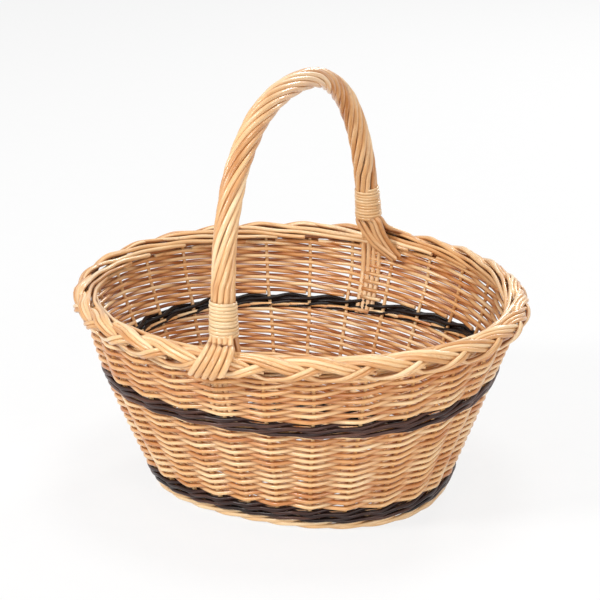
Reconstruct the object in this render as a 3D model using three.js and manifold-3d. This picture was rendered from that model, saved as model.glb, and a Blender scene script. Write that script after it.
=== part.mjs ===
// Oval willow shopping basket: a woven wall on upright stakes, two dark wales, a plaited border and
// one fixed bow handle roped with willow. Millimetres, +Z up. X is the long way of the mouth, the
// handle spans Y, and the origin is under the middle of the foot.
import * as THREE from "three";
import { mergeVertices } from "three/addons/utils/BufferGeometryUtils.js";
import Module from "manifold-3d";

// Body
const RIM_HALF_LENGTH = 220;
const RIM_HALF_WIDTH = 202.5;
const BASE_HALF_LENGTH = 144.5;
const BASE_HALF_WIDTH = 116.5;
const FLARE_HEIGHT = 160;
const WALL_HEIGHT = 174;
const RIM_SQUARENESS = 2.0;
const BASE_SQUARENESS = 2.32;
const WAIST_SQUARENESS = 0.22;
const FLARE_CURVE = -0.125;
const CLEARANCE = 0.3;

// Stakes and rounds of weaving
const STAKES = 27;
const STAKE_RADIUS = 2.0;
const STAKE_TIP_RADIUS = 1.7;
const WEAVER_DEPTH = 3.4;
const BEND_ALLOWANCE = 0.25;
const LOWER_ROUND_COUNT = 8;
const UPPER_ROUND_COUNT = 3;

// Dark wales
const WALE_ROD_DEPTH = 3.8;
const WALE_ROD_HEIGHT = 6.2;
const LOWER_WALE_Z = 17;
const UPPER_WALE_Z = 120;

// Foot and base
const FOOT_HEIGHT = 8.5;
const FOOT_WIDTH = 15;
const FOOT_OVERHANG = 3.2;
const FOOT_BULGE = 1.4;
const BASE_CROWN = 4;
const BASE_ROUNDS = 7;
const BASE_ROUND_LIFT = 2;
const BASE_ROUND_HALF_DEPTH = 2.2;
const BASE_FURROW_HALF_DEPTH = 1.2;
const STICK_RADIUS = 2.3;
const STICK_COVER = 0.6;
const LONG_STICKS = 3;
const SHORT_STICKS = 5;
const LONG_STICK_SPACING = 5.4;
const LONG_STICK_END_SPACING = 38;
const SHORT_STICK_SPACING = 15;
const SHORT_STICK_END_SPACING = 44;
const CROSSING_MARGIN = 2;
const CROSSING_SQUARENESS = 4;
const STICK_END_COVER = 6;

// Plaited border
const BORDER_DEPTH = 28;
const BORDER_HEIGHT = 27;
const PLAIT_STRANDS = 3;
const PLAIT_REPEATS = 9;
const PLAIT_LIFT = 3.9;
const PLAIT_HALF_THICKNESS = 1.2;
const PLAIT_HALF_WIDTH = 3.5;
const PLAIT_MIDDLE_DEG = 55;
const PLAIT_SWING_DEG = 112;
const CORE_HALF_DEPTH = 1.4;
const CORE_HALF_HEIGHT = 2.3;

// Handle
const HANDLE_INSET = 34.7;
const HANDLE_FOOT_Z = 176;
const HANDLE_TOP = 390;
const HANDLE_SPREAD = 2.275;
const HANDLE_SHOULDER = 2.8;
const HANDLE_SHIFT = 3.4;
const HANDLE_LEAN = -0.038;
const BOW_RADIUS = 6.6;
const BOW_FOOT_LENGTH = 47;
const ROPE_HALF_THICKNESS = 2.2;
const ROPE_HALF_WIDTH = 5.9;
const ROPE_PITCH = 290;
const SPLAY_END_DEG = -36;
const SPLAY_SLIDE = 5;
const INNER_TAIL_DROP = 40;
const INNER_TAIL_REACH = 24;
const FRONT_BINDING_Z = 206;
const BACK_BINDING_Z = 217;
const BINDING_TURNS = 10;
const BINDING_PITCH = 3.2;
const CANE_DIAMETER = 2.4;

// Finishes
const GOLDEN_WILLOW = { color: 0xd8a566, roughness: 0.5, metalness: 0 };
const PALE_WILLOW = { color: 0xe3bd86, roughness: 0.48, metalness: 0 };
const DARK_WILLOW = { color: 0x2c1a17, roughness: 0.35, metalness: 0 };
const HONEY_WILLOW = { color: 0xc98f4f, roughness: 0.45, metalness: 0 };
const SPLIT_CANE = { color: 0xdfc08c, roughness: 0.4, metalness: 0 };

const WEAVE_SWING = STAKE_RADIUS + WEAVER_DEPTH / 2 + CLEARANCE + BEND_ALLOWANCE;
const WALL_HALF_DEPTH = WEAVE_SWING + WEAVER_DEPTH / 2;
const WALE_SWING = STAKE_RADIUS + WALE_ROD_DEPTH / 2 + CLEARANCE + BEND_ALLOWANCE;
const WALE_HALF_DEPTH = WALE_SWING + WALE_ROD_DEPTH / 2;
const WALE_RISE = (WALE_ROD_HEIGHT + CLEARANCE) / 2;
const WALE_HALF_HEIGHT = WALE_RISE + WALE_ROD_HEIGHT / 2;
const HANDLE_HALF_SPAN = RIM_HALF_WIDTH - HANDLE_INSET;
const UP = new THREE.Vector3(0, 0, 1);
const LENGTHWAYS = new THREE.Vector3(1, 0, 0);

const basket = new THREE.Group();

function addPiece(name, geometry, finish) {
  const mesh = new THREE.Mesh(geometry, new THREE.MeshStandardMaterial(finish));
  mesh.name = name;
  basket.add(mesh);
}

// Closed skin over rings of points. A looped skin joins its last ring to its first, and any other
// gets flat ends. The sign of the volume turns the faces outwards.
function skin(rings, looped) {
  const sides = rings[0].length;
  const points = rings.flat();
  const faces = [];
  const spans = looped ? rings.length : rings.length - 1;
  for (let i = 0; i < spans; i++) {
    const here = i * sides;
    const next = ((i + 1) % rings.length) * sides;
    for (let j = 0; j < sides; j++) {
      const k = (j + 1) % sides;
      faces.push([here + j, next + j, next + k], [here + j, next + k, here + k]);
    }
  }
  if (!looped) {
    const last = (rings.length - 1) * sides;
    for (let j = 1; j < sides - 1; j++) {
      faces.push([0, j, j + 1], [last, last + j + 1, last + j]);
    }
  }
  let volume = 0;
  for (const [a, b, c] of faces) {
    volume += points[a].dot(new THREE.Vector3().crossVectors(points[b], points[c]));
  }
  const outwards = volume > 0 ? faces : faces.map(([a, b, c]) => [a, c, b]);
  const geometry = new THREE.BufferGeometry().setFromPoints(points);
  geometry.setIndex(outwards.flat());
  geometry.computeVertexNormals();
  return geometry;
}

// Outline of a rod as [across, up] corners, the first one straight across
function ovalOutline(halfAcross, halfUp, corners) {
  return Array.from({ length: corners }, (_, j) => {
    const turn = (2 * Math.PI * j) / corners;
    return [halfAcross * Math.cos(turn), halfUp * Math.sin(turn)];
  });
}

// Outline of a flat bundle of rods
function bandOutline(halfThickness, halfWidth) {
  return [
    [halfThickness, halfWidth],
    [-halfThickness, halfWidth],
    [-halfThickness, -halfWidth],
    [halfThickness, -halfWidth],
  ];
}

function place(outline, centre, across, up) {
  return outline.map(([a, b]) => centre.clone().addScaledVector(across, a).addScaledVector(up, b));
}

// Plan of the stake line at a height: an oval whose squareness changes from base to rim. The last
// rounds under the border stand upright.
function planAt(z) {
  const t = Math.min(Math.max(z / FLARE_HEIGHT, 0), 1);
  const flare = t + FLARE_CURVE * t * (1 - t);
  const topLength = RIM_HALF_LENGTH - BORDER_DEPTH / 2;
  const topWidth = RIM_HALF_WIDTH - BORDER_DEPTH / 2;
  const bulge = WAIST_SQUARENESS * 4 * t * (1 - t);
  return {
    halfLength: BASE_HALF_LENGTH + (topLength - BASE_HALF_LENGTH) * flare - WALL_HALF_DEPTH,
    halfWidth: BASE_HALF_WIDTH + (topWidth - BASE_HALF_WIDTH) * flare - WALL_HALF_DEPTH,
    squareness: BASE_SQUARENESS + (RIM_SQUARENESS - BASE_SQUARENESS) * t + bulge,
  };
}

function ovalPoint(angle, { halfLength, halfWidth, squareness }, z) {
  const c = Math.cos(angle);
  const s = Math.sin(angle);
  const sum = Math.abs(c / halfLength) ** squareness + Math.abs(s / halfWidth) ** squareness;
  const reach = sum ** (-1 / squareness);
  return new THREE.Vector3(reach * c, reach * s, z);
}

// Rim measured round from the front, so that the stakes stand at equal distances along it
const ROUND_STEPS = 720;
const roundLengths = [0];
for (let i = 1; i <= ROUND_STEPS; i++) {
  const plan = planAt(WALL_HEIGHT);
  const [from, to] = [i - 1, i].map((n) => ovalPoint((2 * Math.PI * n) / ROUND_STEPS, plan, 0));
  roundLengths.push(roundLengths[i - 1] + from.distanceTo(to));
}
const ROUND_LENGTH = roundLengths[ROUND_STEPS];

// Plan angle at a share of the way round, share 0 at the front
function angleAt(share) {
  const wanted = THREE.MathUtils.euclideanModulo(share - 0.25, 1) * ROUND_LENGTH;
  let i = 1;
  while (roundLengths[i] < wanted) i++;
  const part = (wanted - roundLengths[i - 1]) / (roundLengths[i] - roundLengths[i - 1]);
  return (2 * Math.PI * (i - 1 + part)) / ROUND_STEPS;
}

// Point of a plan with the directions along it and out of it
function planFrame(share, plan, z) {
  const nudge = 1e-3;
  const at = (s) => ovalPoint(angleAt(s), plan, z);
  const along = at(share + nudge).sub(at(share - nudge)).normalize();
  return { here: at(share), along, out: new THREE.Vector3(along.y, -along.x, 0) };
}

// The same at a stake, with the way that the stake rises for each millimetre of height
function stakeFrame(number, z) {
  const at = (level) => ovalPoint(angleAt(number / STAKES), planAt(level), level);
  const rise = at(z + 1).sub(at(z - 1)).divideScalar(2);
  return { ...planFrame(number / STAKES, planAt(z), z), rise: rise.setZ(1) };
}

// Middle of the straight between two neighbouring stakes
function gapFrame(number, z) {
  const before = stakeFrame(number, z);
  const after = stakeFrame(number + 1, z);
  const along = after.here.clone().sub(before.here).normalize();
  return {
    here: before.here.lerp(after.here, 0.5),
    out: new THREE.Vector3(along.y, -along.x, 0),
    rise: before.rise.lerp(after.rise, 0.5),
  };
}

// Section of a rod beside the stake line, leaning with the wall
function rodRing(outline, { here, out, rise }, offset) {
  return place(outline, here.clone().addScaledVector(out, offset), out, rise);
}

// Stakes
const STAKE_FOOT_Z = FOOT_HEIGHT + CLEARANCE;

// A stake follows the wall and turns out at the top to end under the border's core
function stake(number) {
  const middle = (LOWER_WALE_Z + UPPER_WALE_Z) / 2;
  const levels = [STAKE_FOOT_Z, middle, UPPER_WALE_Z, FLARE_HEIGHT, WALL_HEIGHT];
  const frames = levels.map((z) => stakeFrame(number, z));
  const tipZ = BORDER_Z - CORE_HALF_HEIGHT - CLEARANCE;
  frames.push(planFrame(number / STAKES, RIM_PLAN, tipZ));
  const rings = frames.map(({ here, along, out }) => {
    const taper = (here.z - STAKE_FOOT_Z) / (tipZ - STAKE_FOOT_Z);
    const radius = STAKE_RADIUS + (STAKE_TIP_RADIUS - STAKE_RADIUS) * taper;
    return place(ovalOutline(radius, radius, 4), here, out, along);
  });
  return skin(rings, false);
}

// One round of the weave is one closed rod that passes twice round the wall, in front of one stake
// and behind the next. The odd number of stakes puts its second lap on the other side of each
// stake, and the laps change levels on one stake at the back.
function weaveRound(middleZ, lapHeight) {
  const seam = Math.ceil(STAKES / 2);
  const outline = ovalOutline(WEAVER_DEPTH / 2, (lapHeight - CLEARANCE) / 2, 4);
  const rings = [];
  for (let step = 0; step < 2 * STAKES; step++) {
    const number = seam + step;
    const side = step % 2 === 0 ? 1 : -1;
    const level = middleZ + (step < STAKES ? lapHeight / 2 : -lapHeight / 2);
    if (step % STAKES === 0) {
      rings.push(rodRing(outline, gapFrame(number - 1, 2 * middleZ - level), 0));
      rings.push(rodRing(outline, stakeFrame(number, middleZ), side * WEAVE_SWING));
      rings.push(rodRing(outline, gapFrame(number, level), 0));
    } else {
      rings.push(rodRing(outline, stakeFrame(number, level), side * WEAVE_SWING));
    }
  }
  return skin(rings, true);
}

// One rod of a three-rod wale: it rises over two stakes and passes down behind the third
function waleRod(first, middleZ) {
  const outline = ovalOutline(WALE_ROD_DEPTH / 2, WALE_ROD_HEIGHT / 2, 4);
  const places = [
    { offset: WALE_SWING, rise: -WALE_RISE, gapOffset: WALE_SWING, gapRise: 0 },
    { offset: WALE_SWING, rise: WALE_RISE, gapOffset: 0, gapRise: WALE_RISE },
    { offset: -WALE_SWING, rise: 0, gapOffset: 0, gapRise: -WALE_RISE },
  ];
  const rings = [];
  for (let step = 0; step < STAKES; step++) {
    const number = first + step;
    const { offset, rise, gapOffset, gapRise } = places[step % places.length];
    rings.push(rodRing(outline, stakeFrame(number, middleZ + rise), offset));
    rings.push(rodRing(outline, gapFrame(number, middleZ + gapRise), gapOffset));
  }
  return skin(rings, true);
}

// Foot: a flat-bottomed ring whose outer rods swell between the stakes
function footRing() {
  const rings = [];
  for (let step = 0; step < 2 * STAKES; step++) {
    const { here, out } = stakeFrame(step / 2, FOOT_HEIGHT);
    const swell = FOOT_OVERHANG + (step % 2 === 0 ? 0 : FOOT_BULGE);
    const edge = FOOT_OVERHANG - FOOT_BULGE;
    const inside = FOOT_OVERHANG - FOOT_WIDTH;
    const outline = [
      [edge, 0],
      [swell, FOOT_HEIGHT / 2],
      [edge, FOOT_HEIGHT],
      [inside, FOOT_HEIGHT],
      [inside, 0],
    ];
    rings.push(place(outline, here.setZ(0), out, UP));
  }
  return skin(rings, true);
}

// Base: an oval mat woven round crossed sticks. The sticks lie in one plane, close together where
// they cross, and splay towards the mat's edge.
const STAKE_LINE = planAt(FOOT_HEIGHT);
const MAT_INSET = WALE_HALF_DEPTH + 2 * CLEARANCE;
const MAT_HALF_LENGTH = STAKE_LINE.halfLength - MAT_INSET;
const MAT_HALF_WIDTH = STAKE_LINE.halfWidth - MAT_INSET;
const TUNNEL_RADIUS = STICK_RADIUS + CLEARANCE * Math.SQRT2;
const STICK_Z = STAKE_FOOT_Z + TUNNEL_RADIUS + STICK_COVER + BASE_ROUND_LIFT;
const CROSSING_HALF_LENGTH = (SHORT_STICKS / 2) * SHORT_STICK_SPACING;
const CROSSING_HALF_WIDTH = (LONG_STICKS / 2) * LONG_STICK_SPACING + CROSSING_MARGIN;

function crownAt(x, y) {
  const away = (x / MAT_HALF_LENGTH) ** 2 + (y / MAT_HALF_WIDTH) ** 2;
  return BASE_CROWN * Math.max(1 - away, 0);
}

// Oval of a place across the mat: share 0 is round the crossing and 1 the mat's edge
function matPlan(share) {
  const between = (inner, outer) => inner + (outer - inner) * share;
  return {
    halfLength: between(CROSSING_HALF_LENGTH, MAT_HALF_LENGTH),
    halfWidth: between(CROSSING_HALF_WIDTH, MAT_HALF_WIDTH),
    squareness: between(CROSSING_SQUARENESS, STAKE_LINE.squareness),
  };
}

// A stick is straight through the crossing, and from there its two ends splay
function stickLine(lengthways, index) {
  const [reach, across] = lengthways
    ? [MAT_HALF_LENGTH, MAT_HALF_WIDTH]
    : [MAT_HALF_WIDTH, MAT_HALF_LENGTH];
  const aside = index * (lengthways ? LONG_STICK_SPACING : SHORT_STICK_SPACING);
  const endAside = index * (lengthways ? LONG_STICK_END_SPACING : SHORT_STICK_END_SPACING);
  const bend = lengthways ? CROSSING_HALF_LENGTH : CROSSING_HALF_WIDTH;
  const end = (reach - STICK_END_COVER) * Math.sqrt(1 - (endAside / across) ** 2);
  return { lengthways, aside, endAside, bend, end };
}

function stickSpot({ lengthways, aside, endAside, bend, end }, far) {
  const splay = Math.max(Math.abs(far) - bend, 0) / (end - bend);
  const off = aside + (endAside - aside) * splay;
  return lengthways ? [far, off] : [off, far];
}

function centredNumbers(count) {
  return Array.from({ length: count }, (_, i) => i - (count - 1) / 2);
}

const LONG_LINES = centredNumbers(LONG_STICKS).map((index) => stickLine(true, index));
const SHORT_LINES = centredNumbers(SHORT_STICKS).map((index) => stickLine(false, index));

function baseStick(line, radius, endGap) {
  const outline = ovalOutline(radius, radius, 4);
  const end = line.end + endGap;
  const middle = (line.end + line.bend) / 2;
  const rings = [-end, -middle, -line.bend, line.bend, middle, end].map((far) => {
    const [x, y] = stickSpot(line, far);
    const side = line.lengthways ? new THREE.Vector3(0, 1, 0) : LENGTHWAYS;
    return place(outline, new THREE.Vector3(x, y, STICK_Z + crownAt(x, y)), UP, side);
  });
  return solidOf(skin(rings, false));
}

// The sticks, or with a wider radius the tunnels that they lie in
function crossedSticks(radius, endGap) {
  const sticks = [...LONG_LINES, ...SHORT_LINES].map((line) => baseStick(line, radius, endGap));
  return sticks.reduce((joined, stick) => joined.add(stick));
}

// Angle at which one end of a stick, made longer where need be, crosses an oval
function crossingAngle(line, sign, { halfLength, halfWidth, squareness }) {
  let inside = 0;
  let outside = 2 * line.end;
  for (let i = 0; i < 40; i++) {
    const middle = (inside + outside) / 2;
    const [x, y] = stickSpot(line, sign * middle);
    const reach = Math.abs(x / halfLength) ** squareness + Math.abs(y / halfWidth) ** squareness;
    if (reach > 1) outside = middle;
    else inside = middle;
  }
  const [x, y] = stickSpot(line, sign * inside);
  return Math.atan2(y, x);
}

// Angles of the stick ends round an oval and of the middles between them, counter-clockwise
function matStations(plan) {
  const ends = [
    ...LONG_LINES.map((line) => [line, 1]),
    ...SHORT_LINES.toReversed().map((line) => [line, 1]),
    ...LONG_LINES.toReversed().map((line) => [line, -1]),
    ...SHORT_LINES.map((line) => [line, -1]),
  ];
  const angles = ends.map(([line, sign]) => crossingAngle(line, sign, plan));
  for (let i = 1; i < angles.length; i++) {
    while (angles[i] < angles[i - 1]) angles[i] += 2 * Math.PI;
  }
  return angles.flatMap((angle, i) => {
    const next = i + 1 < angles.length ? angles[i + 1] : angles[0] + 2 * Math.PI;
    return [angle, (angle + next) / 2];
  });
}

// Mat: rounds of weaving that swell over one stick and under the next, with furrows between them
function baseMat() {
  const across = Array.from({ length: 2 * BASE_ROUNDS + 1 }, (_, i) => {
    const plan = matPlan(i / (2 * BASE_ROUNDS));
    return { plan, stations: matStations(plan), onRound: i % 2 === 1, round: Math.floor(i / 2) };
  });
  const halfDepth = ({ onRound, round }, station, side) => {
    if (station % 2 === 1) return onRound ? BASE_ROUND_HALF_DEPTH : BASE_FURROW_HALF_DEPTH;
    const passesHere = (-1) ** (round + station / 2) === side;
    return TUNNEL_RADIUS + STICK_COVER + (onRound && passesHere ? BASE_ROUND_LIFT : 0);
  };
  const spot = (place, station, side) => {
    const z = STICK_Z + side * halfDepth(place, station, side);
    const point = ovalPoint(place.stations[station], place.plan, z);
    point.z += crownAt(point.x, point.y);
    return point;
  };
  const rings = across[0].stations.map((_, station) => [
    ...across.map((place) => spot(place, station, 1)),
    ...across.toReversed().map((place) => spot(place, station, -1)),
  ]);
  return solidOf(skin(rings, true));
}

const wasm = await Module();
wasm.setup();

function solidOf(geometry) {
  const bare = new THREE.BufferGeometry();
  bare.setAttribute("position", geometry.getAttribute("position"));
  bare.setIndex(geometry.getIndex());
  const merged = mergeVertices(bare, 1e-4);
  return new wasm.Manifold(
    new wasm.Mesh({
      numProp: 3,
      vertProperties: merged.getAttribute("position").array,
      triVerts: new Uint32Array(merged.getIndex().array),
    }),
  );
}

function geometryOf(solid) {
  const { vertProperties, triVerts } = solid.getMesh();
  const geometry = new THREE.BufferGeometry();
  geometry.setAttribute("position", new THREE.BufferAttribute(vertProperties, 3));
  geometry.setIndex(new THREE.BufferAttribute(triVerts, 1));
  return geometry;
}

// Border: flat strands plaited round the rim. Each swings from low on the outside over the top to
// the inside and back. On its way up and on its way down it crosses over one strand, then under
// the next.
const SHELL_DEPTH = BORDER_DEPTH / 2 - PLAIT_LIFT - PLAIT_HALF_THICKNESS;
const SHELL_HEIGHT = BORDER_HEIGHT / 2 - PLAIT_LIFT - PLAIT_HALF_THICKNESS;
const PLAIT_SHIFT = 1 / (4 * PLAIT_STRANDS * PLAIT_REPEATS);
const RIM_PLAN = {
  halfLength: RIM_HALF_LENGTH - BORDER_DEPTH / 2,
  halfWidth: RIM_HALF_WIDTH - BORDER_DEPTH / 2,
  squareness: RIM_SQUARENESS,
};

// Spot on the border's rounded section, raised above its shell, with the direction out of it
function borderSpot(share, degrees, raised, middleZ) {
  const { here, out } = planFrame(share, RIM_PLAN, middleZ);
  const turn = THREE.MathUtils.degToRad(degrees);
  const depth = SHELL_DEPTH + raised;
  const height = SHELL_HEIGHT + raised;
  here.addScaledVector(out, depth * Math.cos(turn)).addScaledVector(UP, height * Math.sin(turn));
  const normal = out.multiplyScalar(height * Math.cos(turn));
  return { here, normal: normal.addScaledVector(UP, depth * Math.sin(turn)).normalize() };
}

// Strand through the spots, its outline given as [towards the normal, sideways] corners
function strand(spots, outline, looped) {
  const last = spots.length - 1;
  const rings = spots.map(({ here, normal }, i) => {
    const before = spots[i === 0 ? (looped ? last : 0) : i - 1].here;
    const after = spots[i === last ? (looped ? 0 : last) : i + 1].here;
    const along = after.clone().sub(before).normalize();
    const up = normal.clone().addScaledVector(along, -normal.dot(along)).normalize();
    return place(outline, here, up, new THREE.Vector3().crossVectors(along, up));
  });
  return rings;
}

function plaitStrand(index, middleZ) {
  const perRepeat = 4 * PLAIT_STRANDS;
  const steps = PLAIT_REPEATS * perRepeat;
  const spots = Array.from({ length: steps }, (_, step) => {
    const turn = 2 * Math.PI * (step / perRepeat + index / PLAIT_STRANDS);
    const degrees = PLAIT_MIDDLE_DEG + PLAIT_SWING_DEG * Math.sin(turn);
    const raised = -PLAIT_LIFT * Math.sin(2 * turn);
    return borderSpot(step / steps + PLAIT_SHIFT, degrees, raised, middleZ);
  });
  return strand(spots, bandOutline(PLAIT_HALF_THICKNESS, PLAIT_HALF_WIDTH), true);
}

// Core: the bundle of tips that the plait is worked over
function borderCore() {
  const outline = ovalOutline(CORE_HALF_DEPTH, CORE_HALF_HEIGHT, 4);
  const rings = Array.from({ length: 2 * STAKES }, (_, step) => {
    const { here, out } = planFrame(step / (2 * STAKES), RIM_PLAN, BORDER_Z);
    return place(outline, here, out, UP);
  });
  return skin(rings, true);
}

// The plait lies on the stakes' ends, so its own lowest point sets how high it sits
const plaitNumbers = Array.from({ length: PLAIT_STRANDS }, (_, i) => i);
const lowestPlait = Math.min(...plaitNumbers.flatMap((i) => plaitStrand(i, 0).flat()).map((p) => p.z));
const BORDER_Z = WALL_HEIGHT + CLEARANCE - lowestPlait;

// Handle: an arch from the middle of the border at the front to the middle at the back
function handleX(z) {
  return HANDLE_SHIFT + HANDLE_LEAN * (z - HANDLE_FOOT_Z);
}

// Turn 0 is the front foot and pi the back one
function archPoint(turn) {
  const c = Math.cos(turn);
  const y = -HANDLE_HALF_SPAN * Math.sign(c) * Math.abs(c) ** (2 / HANDLE_SPREAD);
  const rise = Math.abs(Math.sin(turn)) ** (2 / HANDLE_SHOULDER);
  const z = HANDLE_FOOT_Z + (HANDLE_TOP - HANDLE_FOOT_Z) * rise;
  return new THREE.Vector3(handleX(z), y, z);
}

const ARCH_STEPS = 2000;
const archPoints = Array.from({ length: ARCH_STEPS + 1 }, (_, i) =>
  archPoint((Math.PI * i) / ARCH_STEPS),
);
const archLengths = [0];
for (let i = 1; i <= ARCH_STEPS; i++) {
  archLengths.push(archLengths[i - 1] + archPoints[i - 1].distanceTo(archPoints[i]));
}
const ARCH_LENGTH = archLengths[ARCH_STEPS];

// Distance along the arch at which its front leg passes a height
function lengthAtHeight(z) {
  return archLengths[archPoints.findIndex((point) => point.z >= z)];
}

function archAt(length) {
  let i = 1;
  while (i < ARCH_STEPS && archLengths[i] < length) i++;
  const part = (length - archLengths[i - 1]) / (archLengths[i] - archLengths[i - 1]);
  return archPoints[i - 1].clone().lerp(archPoints[i], part);
}

// Point of the arch with the directions along it, sideways and out of the arch
function archFrame(length) {
  const nudge = 0.5;
  const along = archAt(length + nudge).sub(archAt(length - nudge)).normalize();
  const side = LENGTHWAYS.clone().addScaledVector(along, -along.x).normalize();
  return { here: archAt(length), along, side, outward: new THREE.Vector3().crossVectors(side, along) };
}

// Spot on a circle round the bow. Angle 0 is sideways and 90 degrees out of the arch.
function roundBow({ here, side, outward }, degrees, radius) {
  const turn = THREE.MathUtils.degToRad(degrees);
  const normal = side.clone().multiplyScalar(Math.cos(turn));
  normal.addScaledVector(outward, Math.sin(turn));
  return { here: here.clone().addScaledVector(normal, radius), normal };
}

const BINDING_HEIGHT = BINDING_TURNS * BINDING_PITCH;
const FRONT_BINDING = lengthAtHeight(FRONT_BINDING_Z);
const BACK_BINDING = ARCH_LENGTH - lengthAtHeight(BACK_BINDING_Z);
const ROPE_START = FRONT_BINDING + BINDING_HEIGHT;
const ROPE_END = BACK_BINDING - BINDING_HEIGHT;
const ARCH_STATIONS = 26;
const archStations = Array.from(
  { length: ARCH_STATIONS + 1 },
  (_, i) => ROPE_START + ((ROPE_END - ROPE_START) * i) / ARCH_STATIONS,
);

// The bow's feet go down inside the border and lean on the inside of the wall
function bowFootFrame(z, inward) {
  const wallInside = planAt(z).halfWidth - WALL_HALF_DEPTH;
  const y = Math.min(HANDLE_HALF_SPAN, wallInside - CLEARANCE - BOW_RADIUS);
  const outward = new THREE.Vector3(0, -inward, 0);
  return { here: new THREE.Vector3(handleX(z), -inward * y, z), side: LENGTHWAYS, outward };
}

function bow() {
  const outline = ovalOutline(BOW_RADIUS, BOW_RADIUS, 6);
  const end = WALL_HEIGHT - BOW_FOOT_LENGTH;
  const levels = [end, (end + WALL_HEIGHT) / 2, WALL_HEIGHT, BORDER_Z];
  const frames = [
    ...levels.map((z) => bowFootFrame(z, 1)),
    ...[FRONT_BINDING, ...archStations, BACK_BINDING].map(archFrame),
    ...levels.map((z) => bowFootFrame(z, -1)).reverse(),
  ];
  return skin(frames.map(({ here, side, outward }) => place(outline, here, side, outward)), false);
}

// Roping strands. Each lies straight under the bindings and winds round the bow between them. At
// each foot the two on the outside spread over the border, and the two on the inside run down past
// it to one side.
const ROPE_RADIUS = BOW_RADIUS + CLEARANCE + ROPE_HALF_THICKNESS;
const ROPE_STRANDS = 4;
const QUARTER_TURNS = Math.round((4 * (ROPE_END - ROPE_START)) / ROPE_PITCH);
const ROPE_OUTLINE = [
  [-0.9, 1],
  [-0.9, -1],
  [0.25, -0.75],
  [1, 0],
  [0.25, 0.75],
].map(([a, b]) => [a * ROPE_HALF_THICKNESS, b * ROPE_HALF_WIDTH]);

function outerTail(degrees, frame, inward) {
  const raised = PLAIT_LIFT + PLAIT_HALF_THICKNESS + ROPE_HALF_THICKNESS + CLEARANCE;
  const aside = Math.sign(Math.cos(THREE.MathUtils.degToRad(degrees)));
  const start = roundBow(frame, degrees, ROPE_RADIUS).here.x;
  const steps = 6;
  return Array.from({ length: steps + 1 }, (_, i) => {
    const down = i / steps;
    const spread = ROPE_HALF_WIDTH * aside * 0.3;
    const x = start + (spread - inward * SPLAY_SLIDE) * down;
    const share = (inward > 0 ? 0 : 0.5) + (inward * x) / ROUND_LENGTH;
    return borderSpot(share, 105 + (SPLAY_END_DEG - 105) * down, raised, BORDER_Z);
  });
}

function innerTail(degrees, frame) {
  const from = THREE.MathUtils.euclideanModulo(degrees, 360) - 360;
  const steps = 4;
  return Array.from({ length: steps }, (_, i) => {
    const down = (i + 1) / steps;
    const reach = INNER_TAIL_REACH * Math.cos(THREE.MathUtils.degToRad(from / 3));
    const away = ROPE_RADIUS + (reach - ROPE_RADIUS) * Math.sqrt(down);
    const spot = roundBow(frame, from * (1 - 0.7 * down), away);
    spot.here.z -= INNER_TAIL_DROP * down;
    return spot;
  });
}

function ropeStrand(index) {
  const startDegrees = 45 + 90 * index;
  const endDegrees = startDegrees - 90 * QUARTER_TURNS;
  const tail = (length, degrees, inward) => {
    const frame = archFrame(length);
    const outside = Math.sin(THREE.MathUtils.degToRad(degrees)) > 0;
    return outside ? outerTail(degrees, frame, inward) : innerTail(degrees, frame);
  };
  const spots = [
    ...tail(FRONT_BINDING, startDegrees, 1).reverse(),
    roundBow(archFrame(FRONT_BINDING), startDegrees, ROPE_RADIUS),
    ...archStations.map((length, i) => {
      const degrees = startDegrees + ((endDegrees - startDegrees) * i) / ARCH_STATIONS;
      return roundBow(archFrame(length), degrees, ROPE_RADIUS);
    }),
    roundBow(archFrame(BACK_BINDING), endDegrees, ROPE_RADIUS),
    ...tail(BACK_BINDING, endDegrees, -1),
  ];
  return skin(strand(spots, ROPE_OUTLINE, false), false);
}

// Bindings: split cane wound round the rope's ends in one unbroken length, its ends left straight
function binding(name, start) {
  const perTurn = 11;
  const radius = CANE_DIAMETER / 2;
  const sag = 1 / Math.cos(Math.PI / perTurn);
  const winding = (ROPE_RADIUS + ROPE_HALF_THICKNESS + CLEARANCE + radius) * sag;
  const spots = Array.from({ length: BINDING_TURNS * perTurn + 1 }, (_, i) => {
    const frame = archFrame(start + (BINDING_PITCH * i) / perTurn);
    return roundBow(frame, (360 * i) / perTurn, winding);
  });
  reportLeastGap(name, spots.map((spot) => spot.here), perTurn);
  const straightEnd = (end, next) => ({
    here: end.here.clone().add(end.here.clone().sub(next.here).setLength(CANE_DIAMETER)),
    normal: end.normal,
  });
  spots.unshift(straightEnd(spots[0], spots[1]));
  spots.push(straightEnd(spots.at(-1), spots.at(-2)));
  return skin(strand(spots, ovalOutline(radius, radius, 5), false), false);
}

// Least gap between turns, on points finer than the winding's own
function reportLeastGap(name, points, perTurn) {
  const fine = 4;
  const line = [];
  for (let i = 0; i + 1 < points.length; i++) {
    for (let k = 0; k < fine; k++) line.push(points[i].clone().lerp(points[i + 1], k / fine));
  }
  let least = Infinity;
  for (let i = 0; i < line.length; i++) {
    for (let j = i + (perTurn * fine) / 2; j < line.length; j++) {
      least = Math.min(least, line[i].distanceTo(line[j]));
    }
  }
  console.log(`${name}: least gap between turns ${(least - CANE_DIAMETER).toFixed(2)} mm`);
}

function numbered(name, index) {
  return `${name}_${String(index + 1).padStart(2, "0")}`;
}

// Assembly, from the foot up
addPiece("foot_ring", footRing(), PALE_WILLOW);
addPiece("base_sticks", geometryOf(crossedSticks(STICK_RADIUS, 0)), PALE_WILLOW);
addPiece(
  "base_mat",
  geometryOf(baseMat().subtract(crossedSticks(TUNNEL_RADIUS, CLEARANCE))),
  GOLDEN_WILLOW,
);
for (let i = 0; i < STAKES; i++) addPiece(numbered("stake", i), stake(i), GOLDEN_WILLOW);

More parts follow.
